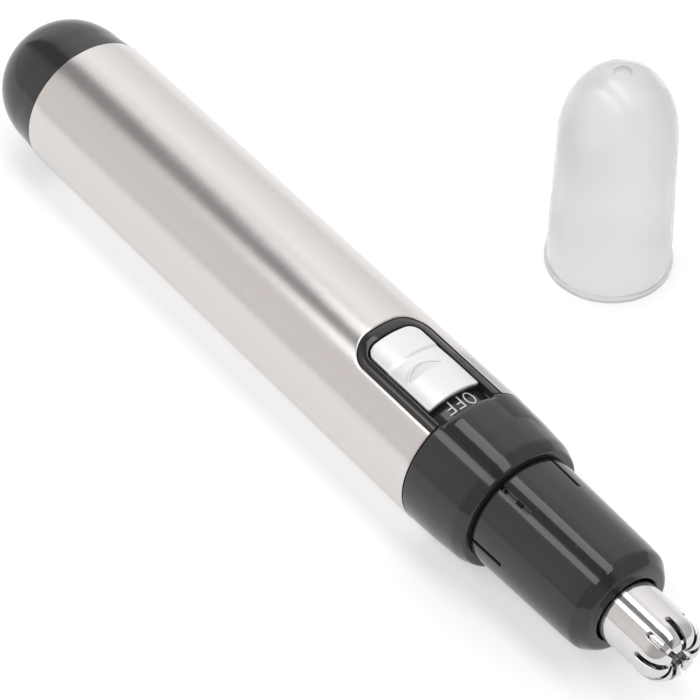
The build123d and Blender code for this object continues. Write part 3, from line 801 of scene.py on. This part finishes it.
plate = closed_mesh("slider_plate", [plate_rings()])
place("slider_plate", plate, button_silver, "switch", ["switch_button"])

# %% Dull foot under the plate
FOOT_INSET = 0.15
FOOT_LIFT = 0.12
FOOT_TOP = 0.47


def foot_rings():
    """Dark foot: from just above the curved floor up to the plate's underside."""
    outer = slider_path(FOOT_INSET)
    spine = spine_of(outer)
    paths = [spine + share * (outer - spine) for share in (0, 0.33, 0.66, 1)]
    rings = [(path, on_cylinder(path, FLOOR_R + FOOT_LIFT)) for path in paths]
    for path, low in rings[::-1]:
        rings.append((path, np.maximum(slider_top(path[:, 0], path[:, 1]) - FOOT_TOP, low)))
    return stacked(rings)


foot = closed_mesh("slider_foot", [foot_rings()])
place("slider_foot", foot, black_matte, "switch")

# %% [markdown]
# ## The head and its sprung skirt
#
# Six saw cuts let the head's skirt spring over the rubber ring on the collar.  Like the sleeve,
# the shell is laid out so that its grid follows the cuts: six sectors, each running from one
# cut's edge to the next.  Beyond the cuts the sectors touch and weld into one round shell.

# %% Shapes with slots cut round them
def sector_share(columns):
    """Shares of a sector's width from 0 to 1, a little closer together towards both edges."""
    ease = np.sin(np.linspace(-math.pi / 2, math.pi / 2, columns)) * 0.5 + 0.5
    return 0.5 * np.linspace(0, 1, columns) + 0.5 * ease


def slotted(outer, inner, gap, sectors, phase, columns, roll=0.08):
    """Sectors of a turned wall with slots between them.

    outer and inner are matching rows of (x, r), gap is the half width of the slot at each row.
    Each sector runs from one slot's edge to the next, and its outer edges roll over in a quarter
    circle of radius roll.  A sector gives four grids: outside, inside and its two cut faces.
    """
    grids = []
    gap = gap[:, None]
    cut = gap[:, 0] > 0
    for i in range(sectors):
        start = math.radians(phase + 360.0 / sectors * i)
        end = start + 2 * math.pi / sectors
        faces = []
        for wall, rolled in ((outer, roll), (inner, 0.0)):
            x, r = wall[:, :1], wall[:, 1:]
            edge = np.arcsin(np.clip(gap / np.maximum(r, 1e-6), 0, 1))
            angle = start + edge + sector_share(columns) * (end - start - 2 * edge)
            near = r * np.minimum(angle - start - edge, end - edge - angle)
            left = np.clip(rolled - near, 0, None) * (gap > 0)
            drop = rolled - np.sqrt(np.clip(rolled * rolled - left * left, 0, None))
            drop = drop * np.minimum(gap / max(gap.max(), 1e-6), 1)
            faces.append(around(x, r - drop, angle))
        grids += faces
        for column in (0, -1):
            grids.append(np.stack([face[cut][:, column] for face in faces], axis=1))
    return grids


def sector_turn(outline, sectors, phase, columns):
    """Turned shape whose columns match those of slotted() with no gap."""
    share = sector_share(columns)[:-1]
    angle = [(i + share) * 2 * math.pi / sectors for i in range(sectors)]
    angle = np.concatenate(angle + [[2 * math.pi]]) + math.radians(phase)
    return around(outline[:, :1], outline[:, 1:], angle)


def end_strips(grids, row):
    """Strips that join the outside and the inside of each of slotted()'s sectors at one row."""
    return [np.stack([grids[i][row], grids[i + 1][row]]) for i in range(0, len(grids), 4)]


print("shares", sector_share(6).round(3))

# %% Head with six slits in its skirt
SLITS = 6
SLIT_HALF = 0.25
SLIT_END = HEAD_START + 5.0
SLIT_TURN = -27.0
SLIT_COLUMNS = 44
SKIRT_R = 7.5
SKIRT_BORE = 6.4
SHOULDER_X = 103.4
SHOULDER_R = 7.15
HOLE_R = 4.4


def slit_gap(x):
    """Half width of a skirt slit: straight, then a half round end."""
    past = np.clip(x - SLIT_END, 0, SLIT_HALF)
    return np.where(x <= SLIT_END + SLIT_HALF, np.sqrt(SLIT_HALF ** 2 - past ** 2), 0)


def head_grids():
    """The slit skirt as sectors, and the rest of the shell as one turned shape."""
    swing = np.linspace(0, math.pi / 2, 9)
    x = np.concatenate([
        [HEAD_START, HEAD_START + 0.06, HEAD_START + 0.15],
        np.linspace(HEAD_START + 0.5, SLIT_END - 0.3, 8), SLIT_END + SLIT_HALF * np.sin(swing),
    ])
    slope = (SKIRT_R - SHOULDER_R) / (SHOULDER_X - HEAD_START)
    r = SKIRT_R - slope * (x - HEAD_START)
    r[:2] -= (0.1, 0.03)
    gap = slit_gap(x)
    gap[-1] = 0
    skirt = slotted(paired(x, r), paired(x, SKIRT_BORE), gap, SLITS, SLIT_TURN, SLIT_COLUMNS)
    front = soften([
        (x[-1], r[-1]), (103.2, 7.16, 3.0), (105.3, 7.02, 1.5), (106.75, 5.9, 1.2),
        (HEAD_END, HOLE_R + 0.05, 0.3), (106.6, HOLE_R, 0.1), (105.2, HOLE_R, 0.1),
        (105.2, 5.5, 0.2), (99.4, 5.5, 0.3), (99.4, 2.6, 0.1), (98.0, 2.6, 0.1), (98.0, 5.9, 0.3),
        (94.0, 5.9, 0.1), (94.0, SKIRT_BORE, 0.1), (x[-1], SKIRT_BORE),
    ], steps=9)[:-1]
    shell = sector_turn(front, SLITS, SLIT_TURN, SLIT_COLUMNS)
    return skirt + end_strips(skirt, 0) + [shell]


head = closed_mesh("head_shell", head_grids())
place("head_moulding", head, black_gloss, "head", ["head_shell"])

# %% [markdown]
# ## The slotted tip
#
# This is the part that meets the skin: a thick steel cup with nine slots that run over its rounded
# edge to an open star in the middle.  Its rim is part of an ellipse, and the slots keep
# their width all the way, so the teeth between them narrow to blunt points.  Both walls are
# worked out on the same rows, so each tooth is closed by a ruled strip between them.

# %% Cup with nine teeth
TIP_R = 4.15
TIP_WALL = 0.5
TEETH = 9
TOOTH_COLUMNS = 26
TOOTH_TURN = -34.4
TOOTH_GAP = 0.36
SLOT_START = 113.1
RIM_X = 113.6
RIM_R = 2.3
TOOTH_END_R = 1.25
FLANGE_R = 5.4
FLANGE_END = 104.8


def rounded_end(gap, count=48):
    """Ellipse about (RIM_X, RIM_R), gap inside the skin, from the side to where the teeth stop."""
    along, across = TIP_END - RIM_X - gap, TIP_R - RIM_R - gap
    swing = np.linspace(0, math.acos((TOOTH_END_R - RIM_R) / across), count)
    return paired(RIM_X + along * np.sin(swing), RIM_R + across * np.cos(swing))


def tip_grids():
    """Teeth as sectors from the slots' round ends inwards, and the plain cup behind them."""
    swing = np.linspace(0, math.pi / 2, 10)
    x = np.append(SLOT_START - TOOTH_GAP * np.cos(swing), (SLOT_START + RIM_X) / 2)
    inner_r = TIP_R - TIP_WALL
    outer = np.concatenate([paired(x, TIP_R), rounded_end(0.0)])
    inner = np.concatenate([paired(x, inner_r), rounded_end(TIP_WALL)])
    past = np.clip(SLOT_START - outer[:, 0], 0, TOOTH_GAP)
    past[len(x):] = 0
    gap = np.sqrt(TOOTH_GAP ** 2 - past ** 2)
    teeth = slotted(outer, inner, gap, TEETH, TOOTH_TURN, TOOTH_COLUMNS, roll=0.1)
    start = x[0]
    cup = soften([
        (start, TIP_R), (start, inner_r), (TIP_START, inner_r, 0.1), (TIP_START, FLANGE_R, 0.1),
        (FLANGE_END, FLANGE_R, 0.1), (FLANGE_END, TIP_R, 0.15),
    ])
    cup = sector_turn(cup[1:], TEETH, TOOTH_TURN, TOOTH_COLUMNS)
    return teeth + end_strips(teeth, -1) + [cup]


tip = closed_mesh("tip_cup", tip_grids(), sharp=40.0)
place("tip_cup", tip, chrome_tip, "head", ["foil_guard"])

# %% [markdown]
# ## Springs
#
# A coil is a circle carried along a helix.  The CAD model stands in for both springs with stacked
# rings, which is enough for mass, and here they become real coils with flat end turns.

# %% Wire swept along a helix
def swept(path, wire, sides=12):
    """Circle of radius wire carried along a path that winds round the x axis."""
    ahead = np.gradient(path, axis=0)
    ahead = ahead / np.linalg.norm(ahead, axis=1)[:, None]
    side = np.cross(ahead, (1.0, 0.0, 0.0))
    side = side / np.linalg.norm(side, axis=1)[:, None]
    up = np.cross(side, ahead)
    swing = np.linspace(0, 2 * math.pi, sides + 1)[:, None]
    grid = path[:, None] + wire * (np.cos(swing) * side[:, None] + np.sin(swing) * up[:, None])
    return to_frame(grid[..., 0], grid[..., 1], grid[..., 2])


def coil(x_start, x_end, r_start, r_end, turns, wire):
    """Helix with a flat turn at each end."""
    share = np.linspace(0, 1, int(turns * 40))
    swing = share * turns * 2 * math.pi
    rise = smooth(np.clip((share * turns - 0.8) / (turns - 1.6), 0, 1))
    x = x_start + (x_end - x_start) * rise
    r = r_start + (r_end - r_start) * share
    return swept(np.stack([x, r * np.sin(swing), r * np.cos(swing)], axis=-1), wire)


def spring(name, node, r_start, r_end, turns, wire, body):
    """Replace a CAD spring by a coil of the same length."""
    first, last = span(node)
    grid = coil(first + wire, last - wire, r_start, r_end, turns, wire)
    mesh = closed_mesh(name, [grid], lids=[grid[0, :-1], grid[-1, :-1]])
    place(name, mesh, nickel, body, [node])


spring(
    "cell_spring", "battery_spring", r_start=5.2, r_end=2.6, turns=3.6, wire=0.3, body="rear_end"
)
spring("push_spring", "drive_spring", r_start=0.7, r_end=0.7, turns=3.0, wire=0.12, body="rotor")

# %% [markdown]
# ## The cell
#
# The cell only shows when the rear cap is off, but then it shows along its whole length.  The can
# has a crimped shoulder and a stepped terminal, and the film stops short of both ends.

# %% Can and printed film
CELL_REAR, CELL_FRONT = span("battery_can")
CAN_R = radius("battery_can")
FILM_R = radius("battery_jacket")
film_start, film_end = span("battery_jacket")
shoulder = CELL_FRONT - 1.0
can = closed_mesh("cell_can", [turn(soften([
    (CELL_REAR, 0), (CELL_REAR, 4.6, 0.2), (CELL_REAR + 0.25, 5.0, 0.2),
    (CELL_REAR + 0.05, 5.5, 0.2), (CELL_REAR + 0.05, CAN_R, 0.5), (shoulder, CAN_R, 0.45),
    (shoulder, 5.6, 0.15), (shoulder - 0.35, 5.3, 0.15), (shoulder - 0.3, 2.75, 0.15),
    (CELL_FRONT, 2.7, 0.3), (CELL_FRONT, 0),
])[:-1])])
place("cell_can", can, cell_steel, "battery", ["battery_can"])
film = closed_mesh("cell_film", [turn(soften([
    (film_start, CAN_R), (film_start, FILM_R, 0.1), (film_end, FILM_R, 0.1), (film_end, CAN_R),
]))])
place("cell_film", film, cell_jacket, "battery", ["battery_jacket"])

# %% [markdown]
# ## The protective cap
#
# A thin bullet-shaped moulding that stands on its rim.  It is turned about its own upright axis.
# Its wall steps inwards half-way up, where it would stop against the head, and a small disc on
# the crown is left by the gate.  The crown is drawn as a superellipse so that it meets the
# tapered side without a visible edge.

# %% Bullet-shaped cap
cap_low, cap_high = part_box("protective_cap")
CAP_X = (cap_low.x + cap_high.x) / 2
CAP_Y = (cap_low.y + cap_high.y) / 2
CAP_HEIGHT = (cap_high.z - cap_low.z) / MM
CAP_RIM = (cap_high.x - cap_low.x) / 2 / MM
CAP_LIP = 0.24
LIP_TOP = 1.0
CROWN_START = 20.5
CROWN_POWER = 2.15
DISC_R = 1.15
DISC_TOP = CAP_HEIGHT - 0.3
print("cap", round(CAP_HEIGHT, 2), "high", round(2 * CAP_RIM, 2), "across")


def upright(outline, count=220):
    """Outline of (r, z) points carried round the protective cap's upright axis."""
    angle = np.linspace(0, 2 * math.pi, count + 1)
    r, z = outline[:, :1] * MM, outline[:, 1:] * MM
    return np.stack([CAP_X + r * np.cos(angle), CAP_Y + r * np.sin(angle), z + 0 * angle], axis=-1)


def crown(shoulder_r, top_z, count):
    """Superelliptic crown from the shoulder to the axis, as (r, z)."""
    swing = np.linspace(0, math.pi / 2, count)
    z = CROWN_START + (top_z - CROWN_START) * np.sin(swing) ** (2 / CROWN_POWER)
    return paired(shoulder_r * np.cos(swing) ** (2 / CROWN_POWER), z)


def cap_outline():
    """Outside with its rim and crown, the gate's disc, and the stepped inside.

    The side tapers evenly, plus a little more that grows as the cube of the share of its height.
    """
    side_r = CAP_RIM - CAP_LIP
    rim = [(CAP_RIM - 0.55, 0), (CAP_RIM, 0, 0.1), (CAP_RIM, 0.85, 0.1), (side_r, LIP_TOP)]
    rim = soften(rim)[1:-2]
    height = np.linspace(LIP_TOP, CROWN_START, 24)
    share = (height - LIP_TOP) / (CROWN_START - LIP_TOP)
    taper = paired(side_r - 0.42 * share - 0.06 * share ** 3, height)
    outside = crown(taper[-1, 0], CAP_HEIGHT, 60)
    disc = np.array([
        (DISC_R, outside[-1, 1] - 0.1), (DISC_R - 0.05, DISC_TOP + 0.08),
        (DISC_R - 0.25, DISC_TOP), (0, DISC_TOP),
    ])
    outside = outside[outside[:, 0] > DISC_R + 0.15]
    inside = crown(6.86, CAP_HEIGHT - 1.05, 50)[::-1]
    steps = np.array([
        (6.9, 17.0), (6.98, 16.2), (7.12, 15.6), (7.38, 8.0), (7.6, 0.4), (CAP_RIM - 0.62, 0.08),
    ])
    outline = np.concatenate([rim, taper, outside[1:], disc, inside, steps])
    return np.concatenate([outline, outline[:1]])


cover = closed_mesh("bullet_cap", [upright(cap_outline())], sharp=50.0)
place("bullet_cap", cover, cap_milky, "cover", ["protective_cap"])

# %% [markdown]
# ## Parts that keep their CAD shape
#
# Everything inside, the printed letters and the cutter already have the right shape, so they only
# need the right finish.  The record says which finish each node has, and one table turns that
# name into a material.

# %% Finishes for the parts inside
finishes = {
    "stainless": stainless, "black_gloss": black_gloss, "black_matte": black_matte,
    "button_silver": button_silver, "legend_white": legend_white, "chrome_tip": chrome_tip,
    "blade_steel": blade_steel, "nickel": nickel, "copper": copper, "bronze": bronze,
    "motor_steel": motor_steel, "lamination": lamination, "magnet": magnet,
    "rubber_black": rubber_black, "nylon_white": nylon_white, "cell_steel": cell_steel,
    "cell_mix": cell_mix, "cell_jacket": cell_jacket, "cap_milky": cap_milky,
}
for part in frame["record"]["subparts"]:
    data = frame["nodes"][part["node"]].data
    data.materials.clear()
    data.materials.append(finishes[part["material_slot"]])

# %% [markdown]
# ## Table, light and camera
#
# Round gloss parts are drawn by what they mirror, so the light is set like a product
# photographer's tent: a pale floor, a bright panel on the far side, a dimmer one on the near side
# and a dark gap overhead that puts a crisp dark line along every round part.  The tent grows
# dimmer towards the trimmer's front, which shades the faces that look that way, and two long
# lamps overhead add the narrow highlights.  The floor glows a little by itself, so that it stays
# white under the soft light; the camera sees plain white beyond it.

# %% Pale floor
def pale(spot):
    """Almost even white board."""
    cloud = noise(spot, 3.0, detail=2.0)
    return {
        "Base Color": mixed(cloud, (0.66, 0.66, 0.66), (0.69, 0.69, 0.69)),
        "Roughness": 0.6 + 0.1 * cloud,
        "Emission Color": mixed(cloud, (0.97, 0.97, 0.97), (1.0, 1.0, 1.0)),
    }


FLOOR_HALF = 3.0
FLOOR_GLOW = 0.47
floor_mesh = bpy.data.meshes.new("floor")
corners = [(x * FLOOR_HALF, y * FLOOR_HALF, 0) for x, y in ((-1, -1), (1, -1), (1, 1), (-1, 1))]
floor_mesh.from_pydata(corners, [], [(0, 1, 2, 3)])
floor_mesh.materials.append(material("pale_board", pale, IOR=1.3, Emission_Strength=FLOOR_GLOW))
floor = added("floor", floor_mesh)

# %% Light tent around the table
DIMMED_BY = 0.4
PLAIN_WHITE = (1.05, 1.05, 1.05)
BLACK = (0, 0, 0, 1)
world = bpy.data.worlds.new("tent")
bpy.context.scene.world = world
world.use_nodes = True
tent = world.node_tree
sky = Wire(tent, tent.nodes.new("ShaderNodeTexCoord").outputs["Generated"])
parts = tent.nodes.new("ShaderNodeSeparateXYZ")
tent.links.new(sky.socket, parts.inputs[0])
forwards, sideways, upwards = (Wire(tent, part) for part in parts.outputs)
turn_share = sky.maths("ARCTAN2", sideways, upwards) * (0.5 / math.pi) + 0.5


def tent_stop(degrees, light, warm=0.0):
    """A ramp stop at an angle from the zenith, positive to the far side."""
    colour = (light, light * (1 - 0.5 * warm), light * (1 - 0.7 * warm))
    return 0.5 + degrees / 360.0, colour


TENT = [
    tent_stop(-100, 0.95), tent_stop(-91, 0.95), tent_stop(-88, 0.82, 0.08),
    tent_stop(-80, 0.97, 0.09), tent_stop(-36, 0.9, 0.09), tent_stop(-24, 0.62, 0.05),
    tent_stop(-19, 0.32), tent_stop(1, 0.3), tent_stop(8, 1.0, 0.03), tent_stop(28, 1.35, 0.05),
    tent_stop(60, 1.15, 0.04), tent_stop(84, 1.0), tent_stop(100, 1.0),
]
ramp = sky.node("ShaderNodeValToRGB", {"stops": TENT}, {0: turn_share})
sockets = {0: DIMMED_BY, 6: ramp, 7: BLACK}
dimmed = ramp.node("ShaderNodeMix", {"data_type": "RGBA"}, sockets, out=2)
light = mixed(between(forwards, -0.5, 0.05), ramp, dimmed)
seen = Wire(tent, tent.nodes.new("ShaderNodeLightPath").outputs["Is Camera Ray"])
tent.links.new(mixed(seen, light, PLAIN_WHITE).socket, tent.nodes["Background"].inputs["Color"])
print("tent with", len(TENT), "stops")


# %% Two long lamps
def lamp(name, centre, size, power, aim):
    """Rectangular soft lamp, long side along x, pointed at aim."""
    data = bpy.data.lights.new(name, "AREA")
    data.shape = "RECTANGLE"
    data.size, data.size_y = size
    data.energy = power
    made = added(name, data)
    made.location = centre
    made.rotation_euler = (aim - made.location).to_track_quat("-Z", "Y").to_euler()
    print(name, round(power, 3), "watts")


def strip_light(name, degrees, width, light, end, length, reach=0.6):
    """Long lamp over the trimmer, at an angle from the zenith and reach metres from its axis.

    It starts end metres ahead of the collar's rear edge; light is its brightness, so its power
    grows with its area.
    """
    swing = math.radians(degrees)
    middle = SEAM_X + COLLAR_START * MM + end + length / 2
    centre = (middle, AXIS_Y + reach * math.sin(swing), AXIS_Z + reach * math.cos(swing))
    power = light * math.pi * length * width
    lamp(name, centre, (length, width), power, Vector((middle, AXIS_Y, AXIS_Z)))


strip_light("near_strip", -30.0, 0.12, 2.6, end=-0.393, length=0.75)
strip_light("top_strip", 1.0, 0.15, 2.8, end=-0.393, length=0.85)

# %% [markdown]
# ## The camera
#
# The camera looks down at the trimmer from its near front, with a long lens, so the parts keep
# their proportions.  It is aimed at a point on the trimmer's own axis.

# %% Long lens above the near front
CAMERA_TURN = math.radians(52.446)
CAMERA_RISE = math.radians(46.22)
CAMERA_REACH = 0.3955
AIM = Vector((SEAM_X + 55.8 * MM, AXIS_Y, AXIS_Z))
back = Vector((
    math.sin(CAMERA_TURN) * math.cos(CAMERA_RISE),
    -math.cos(CAMERA_TURN) * math.cos(CAMERA_RISE),
    math.sin(CAMERA_RISE),
))
lens = bpy.data.cameras.new("camera")
lens.lens = 167.905
lens.sensor_width = 36.0
lens.clip_start = 0.01
camera = added("camera", lens)
camera.location = AIM + back * CAMERA_REACH
camera.rotation_euler = (-back).to_track_quat("-Z", "Y").to_euler()
bpy.context.scene.camera = camera
bpy.context.scene.view_settings.view_transform = "Standard"

# %% Import json
import json
